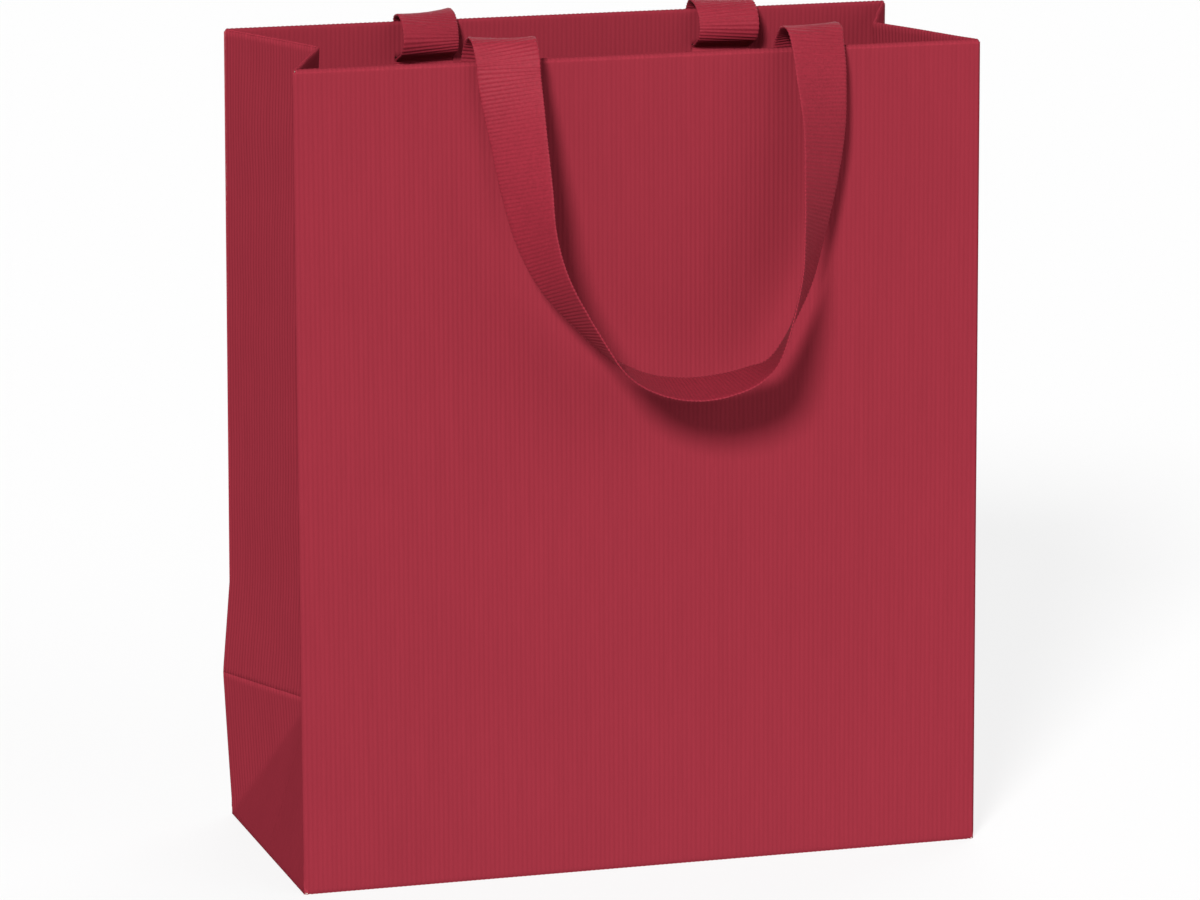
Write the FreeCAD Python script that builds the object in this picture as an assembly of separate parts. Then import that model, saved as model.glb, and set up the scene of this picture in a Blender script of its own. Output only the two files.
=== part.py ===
"""Small gift bag of ribbed paper with folded side gussets and two ribbon handles.

Frame: X across the front, Y from front to back, Z up. The origin is the middle of the base,
on the surface that the bag stands on. Sizes are in millimetres and angles in degrees.
"""
import FreeCAD, Part
import math
import os

V = FreeCAD.Vector

# Overall size of the bag
bag_width = 180.0
bag_depth = 80.0
bag_height = 210.0
wall_lean = 0.8          # the front and back walls lean in towards the mouth

# Sheet stock
paper = 0.3
hem_card = 0.5
base_card = 0.8

# Turned-in hem round the mouth, and the slits in it for the ribbon
hem_depth = 38.0
hem_side_inset = 8.0
card_side_inset = 10.0
card_top_gap = 1.5
slit_below_rim = 10.0
slit_height = 1.6

# Side gussets
gusset_top_angle = 22.3   # each half turns in by this much at the rim
foot_height = 40.0        # height of the crosswise crease above the base
foot_fold = 12.0          # how far that crease lies in at the middle
foot_margin = 6.5         # flat part of the foot beside each wall, clear of a wall that leans in
gusset_edge_gap = 2.0     # from the hinge line to the half panel
gusset_centre_gap = 4.8   # open pivot at the centre crease
gusset_hem_gap = 0.05
fold_gap = 0.35           # between panels that meet at a crease
foot_gap = 1.75           # between the gusset foot and the half panels above it

# Base
flap_overlap = 12.0
side_flap_length = 45.0
board_gap = 1.0
seam_tab_width = 11.0

# Ribbon handles
ribbon_width = 16.0
ribbon_thickness = 0.5
slot_spacing = 81.0
handle_offset = 3.5       # the pair of slots sits a little to the right of the middle
ribbon_slit_gap = 0.5     # clearance at each end of a slit
tail_length = 24.0
loop_gap = 0.8            # between a bend and the loop that hangs from it

# The hanging loop, left to right: across from the middle of the handle, out from the wall,
# down from the rim, turn of the ribbon's width about its run, and tilt of that width.
loop_route = [
    (-39.8, 6.1, 4.5, 24, 2),
    (-38.8, 8.6, 17.5, 34, 8),
    (-37.5, 11.1, 30.5, 44, 13),
    (-35.5, 13.7, 43.5, 61, 16),
    (-30.6, 16.1, 55.5, 77, 14),
    (-20.3, 18.4, 70.0, 90, 3),
    (-14.2, 19.0, 76.3, 95, -5),
    (-6.5, 19.3, 80.3, 95, -9),
    (2.0, 19.6, 82.0, 93, -11),
    (10.7, 19.7, 81.6, 91, -9),
    (19.0, 19.8, 79.3, 92, -3),
    (25.9, 19.6, 74.3, 100, 9),
    (33.7, 16.8, 58.6, 112, 16),
    (37.2, 13.9, 45.5, 121, 15),
    (39.6, 11.7, 32.6, 132, 13),
    (41.4, 9.8, 19.0, 142, 11),
    (41.4, 7.2, 6.1, 154, 2),
]

# The bend over the rim between the slit and the loop: out from the wall and down from the rim.
# The rear handle's bend lies lower over its rim.
front_bend_route = [
    (-6.5, 7.5),
    (-8.2, 3.0),
    (-6.5, -1.5),
    (-2.5, -4.6),
    (2.0, -4.6),
    (5.0, -1.0),
]
back_bend_route = [
    (-6.5, 7.5),
    (-7.8, 4.2),
    (-6.4, 0.9),
    (-2.6, -1.6),
    (2.0, -1.6),
    (4.9, 1.0),
]


# ---------------------------------------------------------------- helpers
def box(x0, x1, y0, y1, z0, z1):
    return Part.makeBox(x1 - x0, y1 - y0, z1 - z0, V(x0, y0, z0))


def closed_wire(points):
    return Part.makePolygon([V(*p) for p in points] + [V(*points[0])])


def ruled_solid(sections):
    return Part.makeLoft([closed_wire(s) for s in sections], True, True)


def to_back(shape):
    """The same piece on the opposite wall."""
    return shape.mirror(V(0, 0, 0), V(0, 1, 0))


def to_right(shape):
    """The same piece on the opposite side."""
    return shape.mirror(V(0, 0, 0), V(1, 0, 0))


def lean(shape):
    """Turn a piece of the front wall in about the front edge of the base."""
    tilted = shape.copy()
    tilted.rotate(V(0, -bag_depth / 2, 0), V(-1, 0, 0), wall_lean)
    return tilted


# ---------------------------------------------------------------- heights and planes
half_width = bag_width / 2
wall_half_width = half_width - paper - fold_gap   # the walls swing in between the gusset feet
front = -bag_depth / 2
flaps_top = 3 * paper
base_top = flaps_top + base_card
card_face = front + paper
tail_face = card_face + hem_card
hem_face = tail_face + ribbon_thickness
stack_face = hem_face + paper
hem_bottom = bag_height - hem_depth
slit_middle = bag_height - slit_below_rim


def slot_centres():
    return (handle_offset - slot_spacing / 2, handle_offset + slot_spacing / 2)


# ---------------------------------------------------------------- base
def bottom_flap_front():
    return box(-half_width, half_width, front, flap_overlap, 0, paper)


def bottom_flap_rear():
    return box(-half_width, half_width, -flap_overlap, -front, paper, 2 * paper)


def bottom_flap_left():
    return box(-half_width, side_flap_length - half_width, front + paper, -front - paper,
               2 * paper, flaps_top)


def base_board():
    inset = board_gap + paper
    return box(inset - half_width, half_width - inset, front + inset, -front - inset,
               flaps_top, base_top)


def left_gusset_foot():
    """Lower end of the gusset: flat at the base and folded in at the crosswise crease."""
    crease_y = front + foot_height * math.sin(math.radians(wall_lean)) + fold_gap

    def section(z, y, fold):
        outer = [(-half_width, y, z), (-half_width, y + foot_margin, z),
                 (-half_width + fold, 0, z), (-half_width, -y - foot_margin, z),
                 (-half_width, -y, z)]
        return outer + [(x + paper, py, pz) for x, py, pz in reversed(outer)]
    return ruled_solid([section(flaps_top, front + fold_gap, 0.01),
                        section(foot_height, crease_y, foot_fold)])


# ---------------------------------------------------------------- front wall
def front_panel():
    return lean(box(-wall_half_width, wall_half_width, front, card_face,
                    flaps_top + fold_gap, bag_height - fold_gap))


def front_hem():
    """Turn-in of the panel: the fold along the rim and the strip behind it, with two slits."""
    side = wall_half_width - hem_side_inset
    strip = box(-side, side, hem_face, stack_face, hem_bottom, bag_height)
    fold = box(-side, side, front, stack_face, bag_height - paper, bag_height)
    hem = strip.fuse(fold).removeSplitter()
    half_slit = ribbon_width / 2 + ribbon_slit_gap
    for x in slot_centres():
        slit = box(x - half_slit, x + half_slit, hem_face - paper, stack_face + paper,
                   slit_middle - slit_height / 2, slit_middle + slit_height / 2)
        hem = hem.cut(slit)
    return lean(hem)


def front_hem_card():
    side = wall_half_width - card_side_inset
    return lean(box(-side, side, card_face, tail_face, hem_bottom + card_top_gap,
                    bag_height - card_top_gap))


def handle_tail(x):
    """Glued end of the ribbon between the card and the hem."""
    top = slit_middle + slit_height / 2 - ribbon_slit_gap
    return lean(box(x - ribbon_width / 2, x + ribbon_width / 2, tail_face, hem_face,
                    top - tail_length, top))


def ribbon_section(centre, run, across):
    """Rectangle of the ribbon's width and thickness, square to its run."""
    run = V(run)
    run.normalize()
    across = V(across) - run * run.dot(V(across))
    across.normalize()
    face = run.cross(across)
    half = across * (ribbon_width / 2)
    skin = face * (ribbon_thickness / 2)
    corners = [centre - half - skin, centre + half - skin, centre + half + skin, centre - half + skin]
    return [tuple(c) for c in corners]


def ribbon(centres, widths):
    """Ribbon through the centres, with the given direction of its width at each."""
    sections = []
    last = len(centres) - 1
    for i, centre in enumerate(centres):
        run = centres[min(i + 1, last)] - centres[max(i - 1, 0)]
        sections.append(ribbon_section(centre, run, widths[i]))
    return lean(ruled_solid(sections))


def width_direction(turn, tilt):
    turn = math.radians(turn)
    tilt = math.radians(tilt)
    return V(math.cos(turn) * math.cos(tilt), -math.sin(turn) * math.cos(tilt), math.sin(tilt))


def front_handle_loop():
    centres = [V(handle_offset + x, front - out, bag_height - down)
               for x, out, down, turn, tilt in loop_route]
    widths = [width_direction(turn, tilt) for x, out, down, turn, tilt in loop_route]
    return ribbon(centres, widths)


def handle_bend(slot, loop_end, bend_route):
    """Bend of the ribbon from its slit, over the rim, to one end of the loop."""
    end_x, end_out, end_down, end_turn, end_tilt = loop_end
    slit_out = front - stack_face - ribbon_thickness / 2
    route = [(slit_out, slit_below_rim)] + bend_route + [(end_out, end_down - loop_gap)]
    if end_turn > 90:
        end_turn -= 180
    steps = len(route) - 1
    shift = (handle_offset + end_x - slot) / steps
    centres = [V(slot + i * shift, front - out, bag_height - down)
               for i, (out, down) in enumerate(route)]
    widths = [width_direction(end_turn * i / steps, 0) for i in range(len(route))]
    return ribbon(centres, widths)


# ---------------------------------------------------------------- gussets
def left_gusset_sheet(z_bottom, start, stop, depth):
    """Twisted strip hinged on the front wall's left edge, from z_bottom to just under the rim and
    from start to stop along the half. Its outer face lies depth inside the half's outer face."""
    foot_angle = math.asin(foot_fold / (bag_depth / 2))
    top_angle = math.radians(gusset_top_angle)
    z_top = bag_height - fold_gap

    def corners(angle):
        along = V(math.sin(angle), math.cos(angle), 0)
        inward = V(math.cos(angle), -math.sin(angle), 0)
        return [along * start + inward * depth, along * stop + inward * depth,
                along * stop + inward * (depth + paper), along * start + inward * (depth + paper)]

    def section(z):
        share = (z - foot_height) / (z_top - foot_height)
        hinge = V(-wall_half_width, front, z)
        ends = zip(corners(foot_angle), corners(top_angle))
        return [tuple(hinge + low * (1 - share) + high * share) for low, high in ends]
    return lean(ruled_solid([section(z_bottom), section(z_top)]))


def left_gusset_front_panel():
    return left_gusset_sheet(foot_height + foot_gap, gusset_edge_gap,
                             bag_depth / 2 - gusset_centre_gap, 0)


def left_gusset_front_hem():
    return left_gusset_sheet(hem_bottom, hem_side_inset, bag_depth / 2 - gusset_centre_gap,
                             paper + gusset_hem_gap)


# ---------------------------------------------------------------- back wall's own piece
def side_seam_tab():
    """Glued overlap that closes the sheet, inside the back panel at its right edge."""
    edge = wall_half_width - gusset_edge_gap
    tab = box(edge - seam_tab_width, edge,
              card_face, card_face + paper, foot_height, hem_bottom - fold_gap)
    return to_back(lean(tab))


# ---------------------------------------------------------------- assembly
def build():
    left_slot, right_slot = slot_centres()
    wall = {
        "panel": front_panel(),
        "hem": front_hem(),
        "hem_card": front_hem_card(),
        "handle_tail_left": handle_tail(left_slot),
        "handle_tail_right": handle_tail(right_slot),
        "handle_loop": front_handle_loop(),
    }
    nodes = {
        "bottom_flap_front": bottom_flap_front(),
        "bottom_flap_rear": bottom_flap_rear(),
        "bottom_flap_left": bottom_flap_left(),
        "bottom_flap_right": to_right(bottom_flap_left()),
        "base_board": base_board(),
        "left_gusset_foot": left_gusset_foot(),
        "right_gusset_foot": to_right(left_gusset_foot()),
        "side_seam_tab": side_seam_tab(),
    }
    for name, shape in wall.items():
        nodes["front_" + name] = shape
        nodes["back_" + name] = to_back(shape)
    for side, slot, loop_end in (("left", left_slot, loop_route[0]),
                                 ("right", right_slot, loop_route[-1])):
        front_bend = handle_bend(slot, loop_end, front_bend_route)
        back_bend = handle_bend(slot, loop_end, back_bend_route)
        nodes["front_handle_bend_" + side] = front_bend
        nodes["back_handle_bend_" + side] = to_back(back_bend)
    for name, shape in (("panel", left_gusset_front_panel()), ("hem", left_gusset_front_hem())):
        nodes["left_gusset_front_" + name] = shape
        nodes["left_gusset_rear_" + name] = to_back(shape)
        nodes["right_gusset_front_" + name] = to_right(shape)
        nodes["right_gusset_rear_" + name] = to_right(to_back(shape))
    return nodes


def main():
    os.makedirs("parts", exist_ok=True)
    for name, shape in build().items():
        if not shape.isValid() or shape.Volume <= 0:
            raise ValueError(name + " is not a sound solid")
        shape.exportStep("parts/" + name + ".step")
        print(name, round(shape.Volume, 1))


main()
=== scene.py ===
import math

import bpy
import numpy as np
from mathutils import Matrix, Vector, noise


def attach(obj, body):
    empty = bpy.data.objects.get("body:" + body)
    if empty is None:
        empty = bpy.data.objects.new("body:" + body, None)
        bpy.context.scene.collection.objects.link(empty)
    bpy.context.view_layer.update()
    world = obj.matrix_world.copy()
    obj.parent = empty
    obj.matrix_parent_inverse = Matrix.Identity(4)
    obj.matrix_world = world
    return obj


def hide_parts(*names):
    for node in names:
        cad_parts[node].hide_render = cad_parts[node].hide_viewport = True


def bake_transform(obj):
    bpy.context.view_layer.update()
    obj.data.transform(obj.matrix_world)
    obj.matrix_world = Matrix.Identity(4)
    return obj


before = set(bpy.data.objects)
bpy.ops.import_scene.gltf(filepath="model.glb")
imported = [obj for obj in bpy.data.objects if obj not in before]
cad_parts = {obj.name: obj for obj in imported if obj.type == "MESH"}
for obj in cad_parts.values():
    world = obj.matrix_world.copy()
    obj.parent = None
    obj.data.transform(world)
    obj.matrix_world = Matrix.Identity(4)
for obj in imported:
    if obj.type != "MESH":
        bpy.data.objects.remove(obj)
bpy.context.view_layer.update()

MM = 0.001

# Sizes of the bag, in millimetres, as in the CAD model unless a line says otherwise
BAG_DEPTH = 80.0
HALF_DEPTH = BAG_DEPTH / 2
BAG_HEIGHT = 210.0
WALL_LEAN = math.radians(0.8)
PAPER = 0.3
STACK = 1.6               # panel, card, ribbon and hem together
HALF_WIDTH = 90.0
FRONT = -HALF_DEPTH
HEM_DEPTH = 38.0
SLIT_BELOW_RIM = 10.0
SLIT_HEIGHT = 1.6
RIBBON_WIDTH = 16.0
RIBBON_THICKNESS = 0.45   # a little thinner than in the CAD model
SLOT_SPACING = 81.0
HANDLE_OFFSET = 3.5
TAIL_LENGTH = 22.0        # a little shorter than in the CAD model
FLAPS_TOP = 0.9           # height of the folded bottom flaps that the board lies on

# Small shapes of the Blender model only
CORNER = 2.2              # rounding of the broad panels' bottom corners
EDGE_ROUND = 0.8          # rounding of the broad panels' upright edges
FOOT_ROUND = 1.2          # and of their lower edge
GUSSET_INSET = 0.1        # from the end of the broad panels to the gusset's face
GUSSET_TUCK = 0.7         # strip at a gusset's upright edges, tucked behind the broad panel
SCALLOP = 0.16            # waves of the ribbon's selvedge

# Relief of the materials
RIB_PITCH = 1.22
RIB_HEIGHT = 0.10
RIB_STEPS = 5             # mesh columns to each rib
CORD_PITCH = 1.0          # cross ribs of the grosgrain
CORD_HEIGHT = 0.12
CORD_STEPS = 4            # mesh rows to each cross rib

# Side gusset, on the left side. Up to the top of the flare it is flat facets between points given
# as the place along the gusset from its front edge to its rear edge, the height, and how far the
# sheet stands out from the side plane. Above that it folds in along its middle.
CREASE_Z = 39.0
CREASE_RISE = 1.0         # the crosswise crease climbs this much from the rear edge to the middle
FLARE_TOP = 66.0
FOLD_LOW = 13.0           # how far the middle fold lies in at the top of the flare
FOLD_RIM = 15.6           # and at the rim
GUSSET_POINTS = {
    "front_foot": (-HALF_DEPTH, 0, 0),
    "rear_foot": (HALF_DEPTH, 0, 0),
    "front_crease": (-HALF_DEPTH, CREASE_Z, 0.0),
    "rear_crease": (HALF_DEPTH, CREASE_Z, 2.2),
    "junction": (0, CREASE_Z + CREASE_RISE, -12.0),
    "front_high": (-HALF_DEPTH, FLARE_TOP, 0),
    "rear_high": (HALF_DEPTH, FLARE_TOP, 0),
    "fold_low": (0, FLARE_TOP, -FOLD_LOW),
}
GUSSET_FACETS = [
    ("front_foot", "rear_foot", "junction"),
    ("rear_foot", "rear_crease", "junction"),
    ("front_foot", "junction", "front_crease"),
    ("front_crease", "junction", "front_high"),
    ("junction", "fold_low", "front_high"),
    ("junction", "rear_crease", "rear_high"),
    ("junction", "rear_high", "fold_low"),
]

# The hanging loop, left to right: across from the middle of the handle, out from the wall,
# down from the rim, turn of the ribbon's width about its run, and tilt of that width. It is the CAD
# model's route with a few places and turns of its two legs adjusted.
LOOP_ROUTE = [
    (-39.8, 6.1, 4.5, 24, 2),
    (-38.5, 8.6, 17.5, 40, 8),
    (-37.1, 11.1, 30.5, 50, 13),
    (-35.2, 13.7, 43.5, 65, 16),
    (-30.6, 16.1, 55.5, 77, 14),
    (-20.3, 18.4, 70.0, 90, 3),
    (-14.2, 19.0, 76.3, 95, -5),
    (-6.5, 19.3, 80.3, 95, -9),
    (2.0, 19.6, 82.0, 93, -11),
    (10.7, 19.7, 81.6, 91, -9),
    (19.0, 19.8, 79.3, 92, -3),
    (25.9, 19.6, 74.3, 100, 9),
    (33.7, 16.8, 58.6, 115, 16),
    (37.2, 13.9, 45.5, 127, 15),
    (39.6, 11.7, 32.6, 140, 13),
    (41.2, 9.8, 19.0, 151, 11),
    (41.2, 7.2, 6.1, 161, 2),
]
# The bends over the rim, from the slit inside to the loop outside: out from the wall's face and down
# from the rim. The back ribbon's lie lower.
BEND_ROUTE = [
    (-3.6, 8.9),
    (-6.6, 6.9),
    (-8.2, 3.0),
    (-6.5, -1.8),
    (-2.5, -4.9),
    (2.0, -4.6),
    (5.0, -0.6),
]
BACK_BEND_ROUTE = [
    (-3.6, 8.9),
    (-6.6, 7.2),
    (-7.8, 4.2),
    (-6.4, 0.9),
    (-2.6, -1.4),
    (2.0, -1.2),
    (4.9, 1.4),
]


# ------------------------------------------------------------------ places
def wall_point(x, out, z):
    """A point of the front wall, given across, out from its face and up, with the wall leaning in."""
    c, s = math.cos(WALL_LEAN), math.sin(WALL_LEAN)
    return (x, FRONT - out * c + z * s, out * s + z * c)


def rotate_wall(points):
    """The same for an array of points given as x, y, z in the upright wall."""
    c, s = math.cos(WALL_LEAN), math.sin(WALL_LEAN)
    y = points[..., 1] - FRONT
    z = points[..., 2]
    return np.stack([points[..., 0], FRONT + y * c + z * s, -y * s + z * c], -1)


def slow_noise(points, size, seed):
    """Smooth unevenness at each point, about -1 to 1, with waves of about the given size in mm."""
    shift = Vector((seed * 7.3, seed * 3.1, seed * 5.7))
    flat = points.reshape(-1, 3) / size
    values = [noise.noise(Vector(p) + shift) for p in flat]
    return np.array(values).reshape(points.shape[:-1])


def catmull(values, steps_each):
    """Smooth curve through the rows of values."""
    v = np.asarray(values, float)
    v = np.vstack([2 * v[0] - v[1], v, 2 * v[-1] - v[-2]])
    t = np.linspace(0, 1, steps_each, endpoint=False)[:, None]
    parts = []
    for a, b, c, d in zip(v[:-3], v[1:-2], v[2:-1], v[3:]):
        parts.append(0.5 * (2 * b + (c - a) * t + (2 * a - 5 * b + 4 * c - d) * t ** 2
                            + (3 * b - a - 3 * c + d) * t ** 3))
    return np.vstack(parts + [v[-2][None]])


# ------------------------------------------------------------------ meshes
def mesh_object(name, vertices, faces, smooth=True):
    mesh = bpy.data.meshes.new(name)
    mesh.from_pydata([tuple(p) for p in vertices], [], faces)
    mesh.update()
    mesh.polygons.foreach_set("use_smooth", [smooth] * len(mesh.polygons))
    piece = bpy.data.objects.new(name, mesh)
    bpy.context.scene.collection.objects.link(piece)
    return piece


def apply_modifiers(piece):
    bpy.context.view_layer.update()
    evaluated = piece.evaluated_get(bpy.context.evaluated_depsgraph_get())
    done = bpy.data.meshes.new_from_object(evaluated)
    piece.modifiers.clear()
    piece.data = done


def grid_faces(rows, columns, keep=None):
    index = np.arange(rows * columns).reshape(rows, columns)
    quads = np.stack([index[:-1, :-1], index[:-1, 1:], index[1:, 1:], index[1:, :-1]], -1)
    if keep is not None:
        quads = quads[keep]
    return quads.reshape(-1, 4).tolist()


def sheet_object(name, grid, materials, thickness=PAPER, keep=None, flip=False):
    """Paper or card from a grid of points in millimetres, given its thickness behind its face."""
    rows, columns = grid.shape[:2]
    faces = grid_faces(rows, columns, keep)
    if flip:
        faces = [f[::-1] for f in faces]
    piece = mesh_object(name, grid.reshape(-1, 3) * MM, faces)
    for material in materials:
        piece.data.materials.append(material)
    shell = piece.modifiers.new("thickness", "SOLIDIFY")
    shell.thickness = thickness * MM
    shell.offset = -1
    shell.use_even_offset = False
    shell.material_offset = min(1, len(materials) - 1)
    apply_modifiers(piece)
    return piece


def rib_columns(start, stop):
    count = max(2, int(round((stop - start) / RIB_PITCH * RIB_STEPS)))
    return np.linspace(start, stop, count + 1)


def rib_relief(across):
    """Height of the paper's ribs above the sheet at each place across it."""
    return RIB_HEIGHT * (0.5 + 0.5 * np.cos(2 * np.pi * across / RIB_PITCH))


# ------------------------------------------------------------------ materials
def node_material(name):
    material = bpy.data.materials.new(name)
    material.use_nodes = True
    nodes = material.node_tree.nodes
    return material, nodes, material.node_tree.links, nodes["Principled BSDF"]


def noise_node(nodes, links, scale, detail=4, rough=0.6, stretch=None):
    coordinates = nodes.new("ShaderNodeTexCoord")
    texture = nodes.new("ShaderNodeTexNoise")
    texture.inputs["Scale"].default_value = scale
    texture.inputs["Detail"].default_value = detail
    texture.inputs["Roughness"].default_value = rough
    if stretch is None:
        links.new(coordinates.outputs["Object"], texture.inputs["Vector"])
    else:
        mapping = nodes.new("ShaderNodeMapping")
        mapping.inputs["Scale"].default_value = stretch
        links.new(coordinates.outputs["Object"], mapping.inputs["Vector"])
        links.new(mapping.outputs["Vector"], texture.inputs["Vector"])
    return texture


def ramp_node(nodes, links, source, stops):
    ramp = nodes.new("ShaderNodeValToRGB")
    elements = ramp.color_ramp.elements
    while len(elements) < len(stops):
        elements.new(0.5)
    for element, (position, colour) in zip(elements, stops):
        element.position = position
        element.color = (*colour, 1)
    links.new(source, ramp.inputs["Fac"])
    return ramp


def bump_node(nodes, links, height, strength, distance):
    bump = nodes.new("ShaderNodeBump")
    bump.inputs["Strength"].default_value = strength
    bump.inputs["Distance"].default_value = distance
    links.new(height, bump.inputs["Height"])
    return bump


def mix_colours(nodes, links, factor, a, b, kind="MIX"):
    mix = nodes.new("ShaderNodeMix")
    mix.data_type = "RGBA"
    mix.blend_type = kind
    for socket, value in (("Factor", factor), ("A", a), ("B", b)):
        target = [i for i in mix.inputs if i.name == socket and i.enabled][0]
        if hasattr(value, "is_output"):
            links.new(value, target)
        elif isinstance(value, tuple):
            target.default_value = (*value, 1)
        else:
            target.default_value = value
    return [o for o in mix.outputs if o.enabled][0]


def shade(colour, factor):
    return tuple(c * factor for c in colour)


def printed_paper(name, colour):
    """Wine-red grooved paper: streaky grain along the ribs, fibres, and sharp edges paler in flecks,
    partly wear and partly a painted highlight where the folds catch the light.
    """
    material, nodes, links, surface = node_material(name)
    grain = noise_node(nodes, links, 900, 3, 0.6, (1.0, 1.0, 0.06))
    cloud = noise_node(nodes, links, 22, 3, 0.5)
    base = ramp_node(nodes, links, grain.outputs["Fac"],
                     [(0.25, shade(colour, 0.965)), (0.75, shade(colour, 1.035))])
    tone = ramp_node(nodes, links, cloud.outputs["Fac"],
                     [(0.3, (0.98, 0.98, 0.98)), (0.7, (1.015, 1.015, 1.015))])
    body = mix_colours(nodes, links, 1.0, base.outputs["Color"], tone.outputs["Color"], "MULTIPLY")
    # Sharp edges are painted paler in flecks: partly worn paper, partly a painted highlight where the
    # folds catch the light.
    geometry = nodes.new("ShaderNodeNewGeometry")
    edge_wear_and_highlight_mask = ramp_node(nodes, links, geometry.outputs["Pointiness"],
                          [(0.535, (0, 0, 0)), (0.60, (1, 1, 1))])
    fleck = noise_node(nodes, links, 600, 2, 0.7)
    worn_and_highlit = mix_colours(nodes, links, 1.0, edge_wear_and_highlight_mask.outputs["Color"], fleck.outputs["Fac"], "MULTIPLY")
    final = mix_colours(nodes, links, worn_and_highlit, body, shade(colour, 1.6))
    links.new(final, surface.inputs["Base Color"])
    rough = ramp_node(nodes, links, grain.outputs["Fac"],
                      [(0.3, (0.56, 0.56, 0.56)), (0.7, (0.68, 0.68, 0.68))])
    links.new(rough.outputs["Color"], surface.inputs["Roughness"])
    surface.inputs["Specular IOR Level"].default_value = 0.0
    fibre = noise_node(nodes, links, 2600, 3, 0.7, (1.0, 1.0, 0.25))
    bump = bump_node(nodes, links, fibre.outputs["Fac"], 0.25, 0.00012)
    links.new(bump.outputs["Normal"], surface.inputs["Normal"])
    return material


def raw_paper(name, colour):
    """Unprinted back of the paper, with soft fibres and specks."""
    material, nodes, links, surface = node_material(name)
    fibre = noise_node(nodes, links, 700, 5, 0.7, (1.0, 1.0, 0.3))
    base = ramp_node(nodes, links, fibre.outputs["Fac"],
                     [(0.3, shade(colour, 0.90)), (0.7, shade(colour, 1.04))])
    links.new(base.outputs["Color"], surface.inputs["Base Color"])
    surface.inputs["Roughness"].default_value = 0.85
    surface.inputs["Specular IOR Level"].default_value = 0.2
    bump = bump_node(nodes, links, fibre.outputs["Fac"], 0.4, 0.0001)
    links.new(bump.outputs["Normal"], surface.inputs["Normal"])
    return material


def card_stock(name, colour):
    """Grey board: mottled pulp with darker flecks."""
    material, nodes, links, surface = node_material(name)
    pulp = noise_node(nodes, links, 260, 6, 0.75)
    fleck = noise_node(nodes, links, 1500, 2, 0.5)
    base = ramp_node(nodes, links, pulp.outputs["Fac"],
                     [(0.3, shade(colour, 0.82)), (0.7, shade(colour, 1.06))])
    mask = ramp_node(nodes, links, fleck.outputs["Fac"], [(0.66, (0, 0, 0)), (0.72, (1, 1, 1))])
    final = mix_colours(nodes, links, mask.outputs["Color"], base.outputs["Color"], shade(colour, 0.6))
    links.new(final, surface.inputs["Base Color"])
    surface.inputs["Roughness"].default_value = 0.9
    surface.inputs["Specular IOR Level"].default_value = 0.2
    bump = bump_node(nodes, links, pulp.outputs["Fac"], 0.5, 0.0002)
    links.new(bump.outputs["Normal"], surface.inputs["Normal"])
    return material


def grosgrain(name, colour):
    """Ribbon yarn: fine twisted threads over the modelled cross ribs, nearly matt."""
    material, nodes, links, surface = node_material(name)
    yarn = noise_node(nodes, links, 1700, 3, 0.6)
    cloud = noise_node(nodes, links, 60, 2, 0.5)
    base = ramp_node(nodes, links, yarn.outputs["Fac"],
                     [(0.25, shade(colour, 0.82)), (0.75, shade(colour, 1.16))])
    tone = ramp_node(nodes, links, cloud.outputs["Fac"],
                     [(0.3, (0.94, 0.94, 0.94)), (0.7, (1.05, 1.05, 1.05))])
    body = mix_colours(nodes, links, 1.0, base.outputs["Color"], tone.outputs["Color"], "MULTIPLY")
    links.new(body, surface.inputs["Base Color"])
    surface.inputs["Roughness"].default_value = 0.55
    surface.inputs["Specular IOR Level"].default_value = 0.06
    surface.inputs["Sheen Weight"].default_value = 0.02
    surface.inputs["Sheen Roughness"].default_value = 0.4
    surface.inputs["Sheen Tint"].default_value = (0.9, 0.45, 0.5, 1)
    bump = bump_node(nodes, links, yarn.outputs["Fac"], 0.5, 0.00015)
    links.new(bump.outputs["Normal"], surface.inputs["Normal"])
    return material


WINE = (0.154, 0.0148, 0.0235)
RIBBON_RED = (0.166, 0.0125, 0.0223)
paper_face = printed_paper("wine_paper", WINE)
paper_back = raw_paper("raw_paper", (0.66, 0.61, 0.55))
board = card_stock("grey_board", (0.62, 0.60, 0.56))
ribbon_cloth = grosgrain("grosgrain", RIBBON_RED)


# ------------------------------------------------------------------ walls
def wall_sheet(name, back):
    """One of the two broad panels, ribbed, with rounded edges and bottom corners and a slight wave."""
    across = rib_columns(-HALF_WIDTH, HALF_WIDTH)
    up = np.concatenate([np.linspace(0.0, 2.0, 5), np.linspace(5.0, BAG_HEIGHT - 1.2, 60),
                         [BAG_HEIGHT - 0.7]])
    x, z = np.meshgrid(across, up)
    beyond = np.clip(np.abs(x) - (HALF_WIDTH - CORNER), 0, CORNER)
    z = np.maximum(z, CORNER - np.sqrt(CORNER ** 2 - beyond ** 2))
    edge = np.clip((np.abs(x) - (HALF_WIDTH - EDGE_ROUND)) / EDGE_ROUND, 0, 1)
    foot = np.clip((FOOT_ROUND - z) / FOOT_ROUND, 0, 1)
    points = np.stack([x, np.zeros_like(x), z], -1)
    wave = 0.35 * slow_noise(points, 70.0, 3 if back else 1)
    fade = np.clip((HALF_WIDTH - np.abs(x)) / 25, 0, 1) * np.clip(z / 25, 0, 1)
    fade *= np.clip((BAG_HEIGHT - z) / 20, 0, 1)
    relief = rib_relief(x) * (1 - edge) - 0.8 * edge ** 2 - 0.5 * foot ** 2
    y = FRONT - relief - wave * fade
    grid = rotate_wall(np.stack([x, y, z], -1))
    if back:
        grid[..., 1] *= -1
    return sheet_object(name, grid, [paper_face, paper_back], flip=back)


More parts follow.
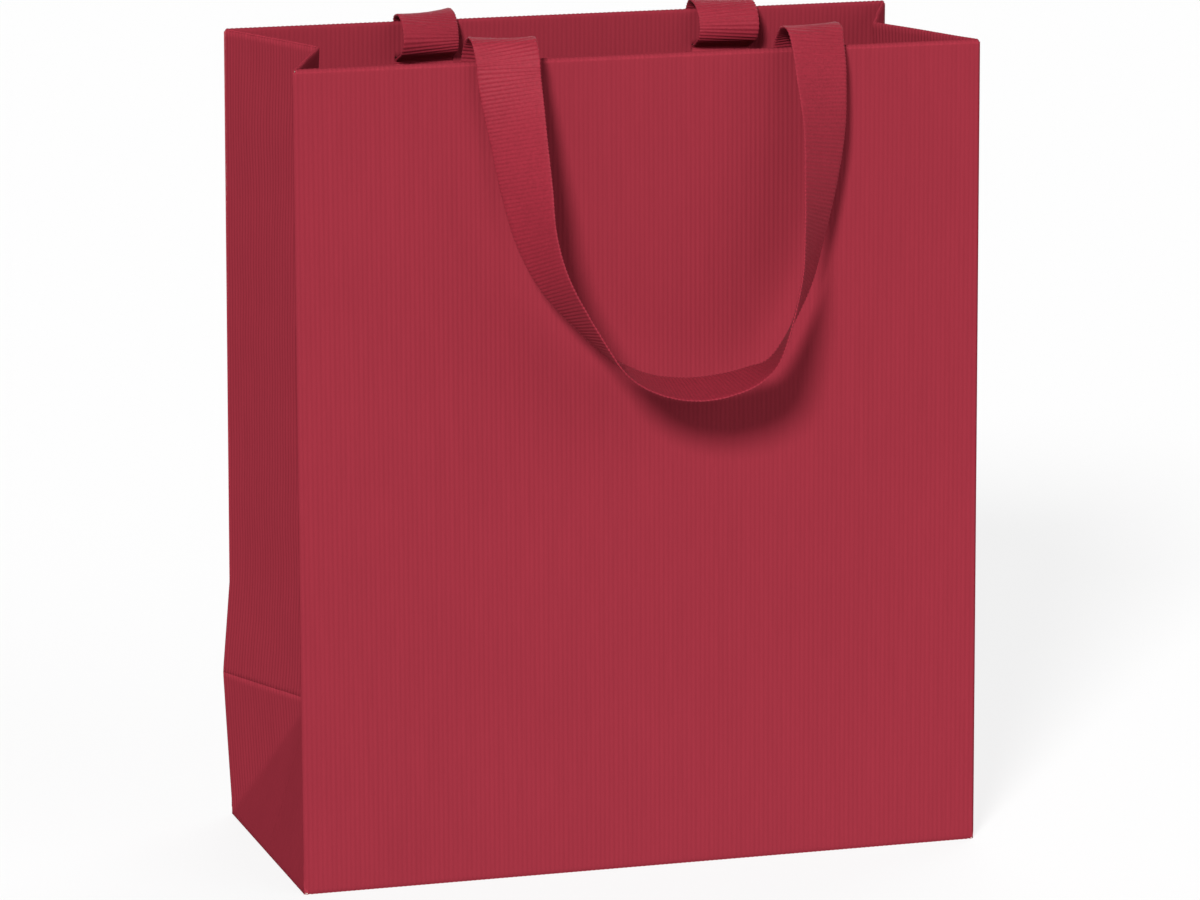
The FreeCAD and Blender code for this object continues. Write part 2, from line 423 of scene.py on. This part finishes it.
def hem_sheet(name, back):
    """Turn-in of the wall: over the rim and down the inside, with the two ribbon slits."""
    across = rib_columns(-HALF_WIDTH + EDGE_ROUND, HALF_WIDTH - EDGE_ROUND)
    radius = STACK / 2
    slit_z = BAG_HEIGHT - SLIT_BELOW_RIM
    arc = np.linspace(0, math.pi, 9)
    over = [(FRONT + radius - radius * math.cos(a), BAG_HEIGHT - radius + radius * math.sin(a))
            for a in arc]
    inner_y = FRONT + STACK
    heights = list(np.linspace(BAG_HEIGHT - radius - 0.8, slit_z + SLIT_HEIGHT / 2, 6))
    slit_row = len(over) + len(heights) - 1
    heights += list(np.linspace(slit_z - SLIT_HEIGHT / 2, BAG_HEIGHT - HEM_DEPTH, 14))
    profile = np.array(over + [(inner_y, z) for z in heights])
    x = np.broadcast_to(across, (len(profile), len(across)))
    y = np.broadcast_to(profile[:, :1], x.shape).copy()
    z = np.broadcast_to(profile[:, 1:], x.shape).copy()
    relief = rib_relief(x)
    row_y = np.concatenate([-np.cos(arc), np.ones(len(heights))])[:, None]
    row_z = np.concatenate([np.sin(arc), np.zeros(len(heights))])[:, None]
    wave = 0.12 * slow_noise(np.stack([x, y, z], -1), 30.0, 5) * np.clip((BAG_HEIGHT - z - 2) / 6, 0, 1)
    y += row_y * (relief + wave)
    z += row_z * relief
    keep = np.ones((len(profile) - 1, len(across) - 1), bool)
    middle = (across[:-1] + across[1:]) / 2
    for centre in (HANDLE_OFFSET - SLOT_SPACING / 2, HANDLE_OFFSET + SLOT_SPACING / 2):
        keep[slit_row, np.abs(middle - centre) < RIBBON_WIDTH / 2 - 0.1] = False
    grid = rotate_wall(np.stack([x, y, z], -1))
    if back:
        grid[..., 1] *= -1
    return sheet_object(name, grid, [paper_face, paper_back], keep=keep, flip=back)


# ------------------------------------------------------------------ gussets
def facet_height(y, z):
    """How far the left gusset stands out at each place along and up it."""
    share = np.clip((z - FLARE_TOP) / (BAG_HEIGHT - FLARE_TOP), 0, 1)
    fold = FOLD_LOW + (FOLD_RIM - FOLD_LOW) * share ** 1.8
    out = np.where(z >= FLARE_TOP, -fold * (1 - np.abs(y) / HALF_DEPTH), np.nan)
    for names in GUSSET_FACETS:
        (y0, z0, p0), (y1, z1, p1), (y2, z2, p2) = [GUSSET_POINTS[n] for n in names]
        area = (y1 - y0) * (z2 - z0) - (y2 - y0) * (z1 - z0)
        a = ((y1 - y) * (z2 - z) - (y2 - y) * (z1 - z)) / area
        b = ((y2 - y) * (z0 - z) - (y0 - y) * (z2 - z)) / area
        c = 1 - a - b
        inside = (a >= -1e-6) & (b >= -1e-6) & (c >= -1e-6) & np.isnan(out)
        out[inside] = (a * p0 + b * p1 + c * p2)[inside]
    return np.nan_to_num(out)


def soft_facets(y, z, softness):
    """The facets with their creases rounded by about the given distance."""
    total = facet_height(y, z) * 2.0
    weight = 2.0
    for k in range(8):
        a = math.tau * k / 8
        yy = np.clip(y + softness * math.cos(a), -HALF_DEPTH, HALF_DEPTH)
        zz = np.clip(z + softness * math.sin(a), 0, BAG_HEIGHT)
        total = total + facet_height(yy, zz)
        weight += 1.0
    return total / weight


def gusset_grid(front_half, right, low, high):
    """Ribbed sheet of half a gusset between two heights given at its edge, before it is placed."""
    along = rib_columns(-HALF_DEPTH, 0.0) if front_half else rib_columns(0.0, HALF_DEPTH)
    climb = CREASE_RISE * np.clip(1 - np.abs(along) / HALF_DEPTH, 0, 1)
    steps = int((high - low) / 1.6) + 2
    share = np.linspace(0, 1, steps)[:, None]
    bottom = low + (climb if low > 1 else 0)
    top = high + (climb if high < 100 else 0)
    z = bottom + (top - bottom) * share
    y = np.broadcast_to(along, z.shape)
    out = soft_facets(y, z, 1.1)
    points = np.stack([y, np.full_like(y, 50.0 if right else 0.0), z], -1)
    from_edge = HALF_DEPTH - np.abs(y)
    out += 0.45 * slow_noise(points, 17.0, 8) * np.clip(from_edge / 8, 0, 1) * np.clip(z / 10, 0, 1)
    pressed = np.where(z < (CREASE_Z + CREASE_RISE) * (1 - np.abs(y) / HALF_DEPTH), 0.35, 1.0)
    out += 2.0 * rib_relief(y) * pressed * np.clip(from_edge / EDGE_ROUND, 0, 1)
    out -= 0.35 * np.clip(1 - from_edge / GUSSET_TUCK, 0, 1)
    return y, z, out


def place_gusset(y, z, out, right):
    """Points of a gusset in the bag, narrowing upward as the walls lean in."""
    lean_y = y * (1 - z * math.tan(WALL_LEAN) / HALF_DEPTH)
    lean_y -= np.sign(y) * 0.6 * np.clip(1 - (HALF_DEPTH - np.abs(y)) / GUSSET_TUCK, 0, 1)
    x = -(HALF_WIDTH - GUSSET_INSET) - out
    if right:
        x = -x
    return np.stack([x, lean_y, z], -1)


def gusset_sheet(name, front_half, right, low, high):
    """Half of a gusset between two heights."""
    y, z, out = gusset_grid(front_half, right, low, high)
    grid = place_gusset(y, z, out, right)
    return sheet_object(name, grid, [paper_face, paper_back], flip=not right)


def gusset_hem(name, front_half, right):
    """Turn-in of a gusset half: over the rim and down the inside."""
    y, z, out = gusset_grid(front_half, right, BAG_HEIGHT - HEM_DEPTH, BAG_HEIGHT - 0.4)
    inner = place_gusset(y, z, out - 0.75, right)
    outer = place_gusset(y[-1:], z[-1:], out[-1:] + 0.02, right)
    crest = (inner[-1:] + outer) / 2
    crest[..., 2] += 0.4
    grid = np.concatenate([inner, crest, outer])
    grid = grid[::-1]
    middle = (np.abs(y[0, :-1]) + np.abs(y[0, 1:])) / 2
    keep = np.broadcast_to(middle < HALF_DEPTH - 1.0, (len(grid) - 1, len(middle)))
    return sheet_object(name, grid, [paper_face, paper_back], thickness=0.22, keep=keep,
                        flip=not right)


# ------------------------------------------------------------------ ribbons
def ribbon_route(bend):
    """Stations from one hidden end of a ribbon to the other: place, turn and tilt of its width."""
    stations = []

    def end(slot, station, sign):
        x_end = station[0]
        turn_end = station[3] if station[3] < 90 else station[3] - 180
        tail = [(-1.25, SLIT_BELOW_RIM + d) for d in (TAIL_LENGTH, 14.0, 7.0, 2.5)]
        route = tail + [(-1.5, SLIT_BELOW_RIM + 0.1)] + bend
        count = len(route) - len(tail)
        result = []
        for i, (out, down) in enumerate(route):
            share = max(0, i - len(tail) + 1) / (count + 1)
            x = slot + (HANDLE_OFFSET + x_end - slot) * share
            turn = turn_end * share + (0 if sign > 0 else 180)
            result.append((x, out, down, turn, 0))
        return result

    left = HANDLE_OFFSET - SLOT_SPACING / 2
    right = HANDLE_OFFSET + SLOT_SPACING / 2
    stations += end(left, LOOP_ROUTE[0], 1)
    stations += [(HANDLE_OFFSET + x, out, down, turn, tilt) for x, out, down, turn, tilt in LOOP_ROUTE]
    stations += end(right, LOOP_ROUTE[-1], -1)[::-1]
    return np.array(stations, float)


def ribbon_object(name, back):
    """One continuous grosgrain ribbon with real cross ribs and a scalloped selvedge."""
    smooth = catmull(ribbon_route(BACK_BEND_ROUTE if back else BEND_ROUTE), 24)
    centres = np.stack([smooth[:, 0], FRONT - smooth[:, 1], BAG_HEIGHT - smooth[:, 2]], -1)
    lengths = np.concatenate([[0], np.cumsum(np.linalg.norm(np.diff(centres, axis=0), axis=1))])
    count = int(lengths[-1] / CORD_PITCH * CORD_STEPS)
    places = np.linspace(0, lengths[-1], count)
    centres = np.stack([np.interp(places, lengths, centres[:, i]) for i in range(3)], -1)
    turn = np.radians(np.interp(places, lengths, smooth[:, 3]))
    tilt = np.radians(np.interp(places, lengths, smooth[:, 4]))
    run = np.gradient(centres, axis=0)
    for _ in range(6):
        run[1:-1] = (run[:-2] + 2 * run[1:-1] + run[2:]) / 4
    run /= np.linalg.norm(run, axis=1)[:, None]
    wide = np.stack([np.cos(turn) * np.cos(tilt), -np.sin(turn) * np.cos(tilt), np.sin(tilt)], -1)
    wide -= run * np.sum(run * wide, axis=1)[:, None]
    wide /= np.linalg.norm(wide, axis=1)[:, None]
    face = np.cross(run, wide)
    phase = 2 * np.pi * places / CORD_PITCH
    lift = CORD_HEIGHT * np.cos(phase)
    edge = SCALLOP * (0.5 + 0.5 * np.cos(phase))
    across = np.array([-1, -0.985, -0.95, -0.8, -0.5, -0.2, 0.2, 0.5, 0.8, 0.95, 0.985, 1])
    flat = np.array([0.35, 0.75, 1, 1, 1, 1, 1, 1, 1, 1, 0.75, 0.35])
    half = RIBBON_WIDTH / 2 - SCALLOP
    rows = []
    for side in (1, -1):
        for a, f in zip(across[::side], flat[::side]):
            reach = a * half + np.sign(a) * edge * abs(a) ** 8
            height = side * f * (RIBBON_THICKNESS / 2 + lift)
            rows.append(centres + wide * reach[:, None] + face * np.asarray(height)[:, None])
    ring = np.stack(rows, 1)
    ring = rotate_wall(ring)
    if back:
        ring[..., 1] *= -1
    count, around = ring.shape[:2]
    index = np.arange(count * around).reshape(count, around)
    following = np.roll(index, -1, axis=1)
    quads = np.stack([index[:-1], following[:-1], following[1:], index[1:]], -1).reshape(-1, 4)
    faces = quads.tolist() + [index[0].tolist()[::-1], index[-1].tolist()]
    if back:
        faces = [f[::-1] for f in faces]
    piece = mesh_object(name, ring.reshape(-1, 3) * MM, faces)
    piece.data.materials.append(ribbon_cloth)
    return piece


# ------------------------------------------------------------------ base
def bottom_flap(name, near, far, height):
    """Glued flap under the bag, with the ribs running from front to back."""
    across = rib_columns(-HALF_WIDTH + 0.35, HALF_WIDTH - 0.35)
    depth = np.linspace(near, far, 24)
    x, y = np.meshgrid(across, depth)
    z = height + 0.06 - 0.06 * np.cos(2 * np.pi * x / RIB_PITCH)
    return sheet_object(name, np.stack([x, y, z], -1), [paper_face, paper_back], thickness=0.2,
                        flip=True)


def side_flap(name, right):
    """Glued flap reaching in from one end of the bag, under the base board."""
    across = rib_columns(-HALF_WIDTH + 0.6, -45.0)
    depth = np.linspace(FRONT + 0.6, -FRONT - 0.6, 30)
    x, y = np.meshgrid(across, depth)
    z = np.full_like(x, 0.62)
    if right:
        x = -x
    return sheet_object(name, np.stack([x, y, z], -1), [paper_face, paper_back], thickness=0.25,
                        flip=not right)


def base_card():
    """Loose board in the bottom, very slightly crowned, with rounded corners."""
    half_x = HALF_WIDTH - 1.5
    half_y = BAG_DEPTH / 2 - 1.5
    corner = 2.0
    outline = []
    for cx, cy, start in ((1, 1, 0), (-1, 1, 90), (-1, -1, 180), (1, -1, 270)):
        for step in range(5):
            a = math.radians(start + 22.5 * step)
            outline.append((cx * (half_x - corner) + corner * math.cos(a),
                            cy * (half_y - corner) + corner * math.sin(a)))
    ring = np.array(outline)
    rows = np.stack([ring * s for s in (0.25, 0.5, 0.75, 0.92, 1.0)])
    crown = 0.5 * (1 - (rows[..., 0] / half_x) ** 2) * (1 - (rows[..., 1] / half_y) ** 2)
    z = FLAPS_TOP + 0.8 + crown
    rings = np.concatenate([rows, z[..., None]], -1).reshape(-1, 3)
    vertices = [(0, 0, FLAPS_TOP + 1.3)] + rings.tolist()
    n = len(ring)
    faces = [(0, 1 + k, 1 + (k + 1) % n) for k in range(n)]
    for r in range(4):
        for k in range(n):
            a, b = 1 + r * n + k, 1 + r * n + (k + 1) % n
            faces.append((a, a + n, b + n, b))
    piece = mesh_object("base_card", [tuple(c * MM for c in v) for v in vertices], faces, smooth=False)
    piece.data.materials.append(board)
    shell = piece.modifiers.new("thickness", "SOLIDIFY")
    shell.thickness = 0.7 * MM
    shell.offset = -1
    apply_modifiers(piece)
    return piece


# ------------------------------------------------------------------ assembly
def add_walls():
    for side in ("front", "back"):
        back = side == "back"
        body = side + "_wall"
        panel = wall_sheet(side + "_panel_sheet", back)
        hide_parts(side + "_panel")
        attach(panel, body)
        hem = hem_sheet(side + "_hem_sheet", back)
        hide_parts(side + "_hem")
        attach(hem, body)


def add_gussets():
    for side in ("left", "right"):
        right = side == "right"
        for half in ("front", "rear"):
            is_front = half == "front"
            body = side + "_gusset_" + half
            foot = gusset_sheet(side + "_foot_sheet_" + half, is_front, right, 0.0, CREASE_Z)
            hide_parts(side + "_gusset_foot")
            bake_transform(foot)
            sheet = gusset_sheet(body + "_sheet", is_front, right, CREASE_Z, BAG_HEIGHT - 0.5)
            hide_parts(body + "_panel")
            hem = gusset_hem(body + "_hem_sheet", is_front, right)
            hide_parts(body + "_hem")
            for piece in (sheet, hem):
                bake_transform(piece)


def add_handles():
    for side in ("front", "back"):
        ribbon = ribbon_object(side + "_ribbon", side == "back")
        names = ("tail_left", "tail_right", "bend_left", "bend_right", "loop")
        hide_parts(*[side + "_handle_" + n for n in names])
        start = Vector(wall_point(0, 0.0, BAG_HEIGHT)) * MM
        end = Vector(wall_point(0, 3.5, BAG_HEIGHT)) * MM
        if side == "back":
            start.y, end.y = -start.y, -end.y
        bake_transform(ribbon)


def add_base():
    pieces = {
        "bottom_flap_front": bottom_flap("front_flap_sheet", FRONT + 0.3, 12.0, 0.0),
        "bottom_flap_rear": bottom_flap("rear_flap_sheet", -12.0, -FRONT - 0.3, 0.3),
        "bottom_flap_left": side_flap("left_flap_sheet", False),
        "bottom_flap_right": side_flap("right_flap_sheet", True),
        "base_board": base_card(),
    }
    for node, piece in pieces.items():
        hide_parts(node)
        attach(piece, "base")


def dress_carried_nodes():
    for node, material in (("front_hem_card", board), ("back_hem_card", board),
                           ("side_seam_tab", paper_back)):
        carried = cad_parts[node]
        for material_slot in carried.material_slots:
            material_slot.material = material


# ------------------------------------------------------------------ studio
def add_floor():
    material, nodes, links, surface = node_material("floor")
    surface.inputs["Base Color"].default_value = (0.12, 0.12, 0.12, 1)
    surface.inputs["Emission Color"].default_value = (1, 1, 1, 1)
    surface.inputs["Emission Strength"].default_value = 0.80
    surface.inputs["Roughness"].default_value = 0.9
    surface.inputs["Specular IOR Level"].default_value = 0.0
    reach = 8
    corners = [(-reach, -reach, 0), (reach, -reach, 0), (reach, reach, 0), (-reach, reach, 0)]
    floor = mesh_object("floor", corners, [(0, 1, 2, 3)], False)
    floor.data.materials.append(material)


def soft_light(name, azimuth, elevation, softness, strength):
    """Large soft light. Azimuth 0 is straight in front of the bag, negative to its left."""
    a, e = math.radians(azimuth), math.radians(elevation)
    towards = Vector((math.sin(a) * math.cos(e), -math.cos(a) * math.cos(e), math.sin(e)))
    data = bpy.data.lights.new(name, "SUN")
    data.angle = math.radians(softness)
    data.energy = strength
    light = bpy.data.objects.new(name, data)
    light.rotation_euler = (-towards).to_track_quat("-Z", "Y").to_euler()
    bpy.context.scene.collection.objects.link(light)


def add_world(strength):
    world = bpy.data.worlds.new("studio")
    world.use_nodes = True
    world.node_tree.nodes["Background"].inputs["Color"].default_value = (1, 1, 1, 1)
    world.node_tree.nodes["Background"].inputs["Strength"].default_value = strength
    bpy.context.scene.world = world


def add_camera():
    data = bpy.data.cameras.new("camera")
    data.sensor_width = 36.0
    data.lens = 181.2
    data.clip_end = 30.0
    camera = bpy.data.objects.new("camera", data)
    camera.location = (-0.4414, -1.4658, 0.4346)
    camera.rotation_euler = (math.radians(90 - 12.29), 0, math.radians(-16.76))
    bpy.context.scene.collection.objects.link(camera)
    bpy.context.scene.camera = camera


add_camera()
add_walls()
add_gussets()
add_handles()
add_base()
dress_carried_nodes()
add_floor()
add_world(0.04)
soft_light("key", -31, 29, 12, 6.15)
soft_light("fill", 40, 15, 60, 2.05)
soft_light("rear", 150, 30, 60, 2.6)
bpy.context.scene.view_settings.view_transform = "Standard"
